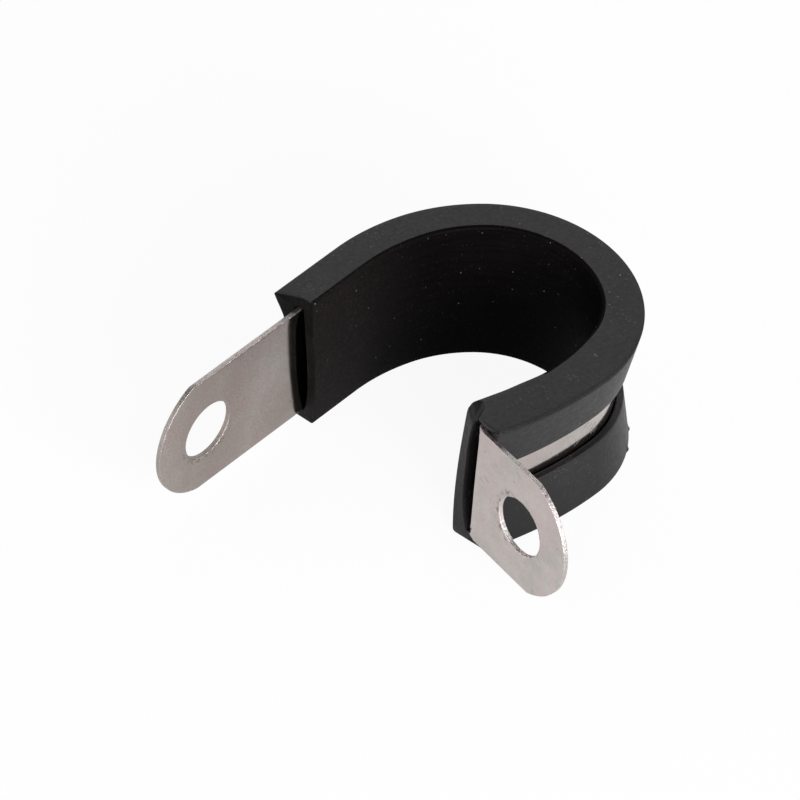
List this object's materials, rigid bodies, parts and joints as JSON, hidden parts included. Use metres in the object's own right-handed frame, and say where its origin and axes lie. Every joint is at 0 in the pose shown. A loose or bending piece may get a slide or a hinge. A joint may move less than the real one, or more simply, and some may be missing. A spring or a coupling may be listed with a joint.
{
  "type": "p clip",
  "caption": "Rubber-lined P-shaped clip: a stainless strip bent to an open loop with two ears and one bolt hole in each, holding a pipe or cable.",
  "frame": {"origin": "centre of the bolt hole in the straight ear, on the ear's inner face, half way across the strip", "axes": "+X from that hole into the loop, -Y to the side the loop is on, +Z across the strip; the clip lies on the side of its rubber"},
  "size_m": [0.0498, 0.0416, 0.0178],
  "materials": {
    "stainless_steel": "satin, with the strip's rolled grain",
    "black_rubber": "matt extruded rubber with dust"
  },
  "bodies": {
    "root": {"strap": "stainless_steel", "liner": "black_rubber"}
  },
  "joints": []
}
